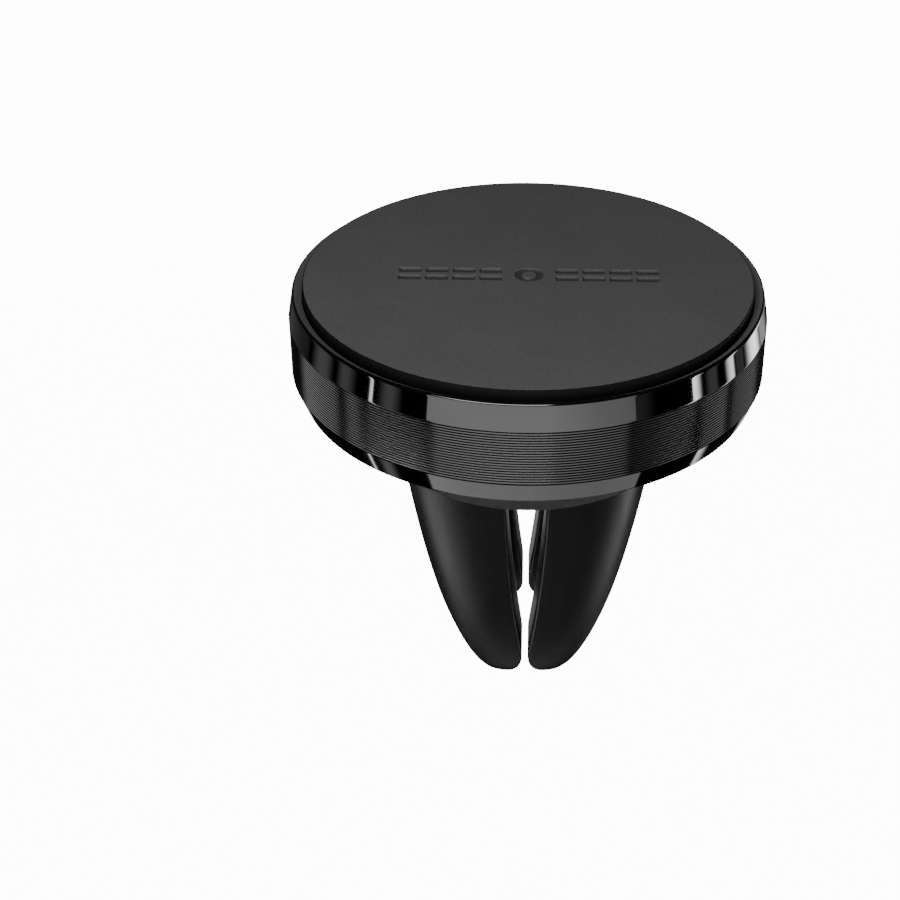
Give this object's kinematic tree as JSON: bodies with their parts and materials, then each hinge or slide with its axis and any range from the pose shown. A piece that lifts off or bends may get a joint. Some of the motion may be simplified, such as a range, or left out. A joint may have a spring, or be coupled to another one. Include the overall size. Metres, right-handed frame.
{
  "type": "car phone mount",
  "caption": "Round magnetic phone mount for a car air vent: a soft pad in a black aluminium ring on a tapered base, with a clip of sprung prongs that grip a vent blade.",
  "frame": {"origin": "under the middle of the prong tips, level with their lowest points", "axes": "+Z from the prong tips up through the clip to the magnet face; X across the narrow slot that takes the vent blade, Y along that slot; the front is -Y"},
  "size_m": [0.041, 0.041, 0.0384],
  "materials": {
    "soft_touch_pad": "matte soft-touch skin with a very fine speckle",
    "anodised_ring": "glossy black anodised, turned, with a satin dished lip",
    "moulded_base": "satin black moulded",
    "inner_plastic": "dark grey moulded",
    "sleeve_rubber": "satin black",
    "core_nylon": "dark grey glass-filled",
    "adhesive_film": "clear film",
    "nickel_plate": "bright nickel plate",
    "zinc_steel": "zinc-plated"
  },
  "bodies": {
    "head": {"grip_pad": "soft_touch_pad", "pad_adhesive": "adhesive_film", "front_cover": "inner_plastic", "housing_ring": "anodised_ring", "magnet_carrier": "inner_plastic", "yoke_plate": "zinc_steel", "base_cover": "moulded_base", "clip_root": "core_nylon", "clip_screw": "zinc_steel", "clip_washer": "zinc_steel", "magnet_1": "nickel_plate", "magnet_2": "nickel_plate", "magnet_3": "nickel_plate", "magnet_4": "nickel_plate", "magnet_5": "nickel_plate", "magnet_6": "nickel_plate", "base_screw_1": "zinc_steel", "base_screw_2": "zinc_steel", "base_screw_3": "zinc_steel"},
    "front_left_prong": {"prong_core_front_left": "core_nylon", "prong_sleeve_front_left": "sleeve_rubber"},
    "front_right_prong": {"prong_core_front_right": "core_nylon", "prong_sleeve_front_right": "sleeve_rubber"},
    "back_left_prong": {"prong_core_back_left": "core_nylon", "prong_sleeve_back_left": "sleeve_rubber"},
    "back_right_prong": {"prong_core_back_right": "core_nylon", "prong_sleeve_back_right": "sleeve_rubber"}
  },
  "joints": [
    {"name": "front_left_flex", "type": "hinge", "parent": "head", "child": "front_left_prong", "pos_m": [-0.0065, 0, 0.025], "axis": [0, 1, 0], "range_deg": [0, 5], "stiffness_Nm_per_rad": 0.4},
    {"name": "front_right_flex", "type": "hinge", "parent": "head", "child": "front_right_prong", "pos_m": [0.0065, 0, 0.025], "axis": [0, -1, 0], "range_deg": [0, 5], "stiffness_Nm_per_rad": 0.4},
    {"name": "back_left_flex", "type": "hinge", "parent": "head", "child": "back_left_prong", "pos_m": [-0.0065, 0, 0.025], "axis": [0, 1, 0], "range_deg": [0, 5], "stiffness_Nm_per_rad": 0.4},
    {"name": "back_right_flex", "type": "hinge", "parent": "head", "child": "back_right_prong", "pos_m": [0.0065, 0, 0.025], "axis": [0, -1, 0], "range_deg": [0, 5], "stiffness_Nm_per_rad": 0.4}
  ],
  "couplings": [
    {"joint": "front_right_flex", "follows": "front_left_flex", "ratio": 1},
    {"joint": "back_left_flex", "follows": "front_left_flex", "ratio": 1},
    {"joint": "back_right_flex", "follows": "front_left_flex", "ratio": 1}
  ]
}
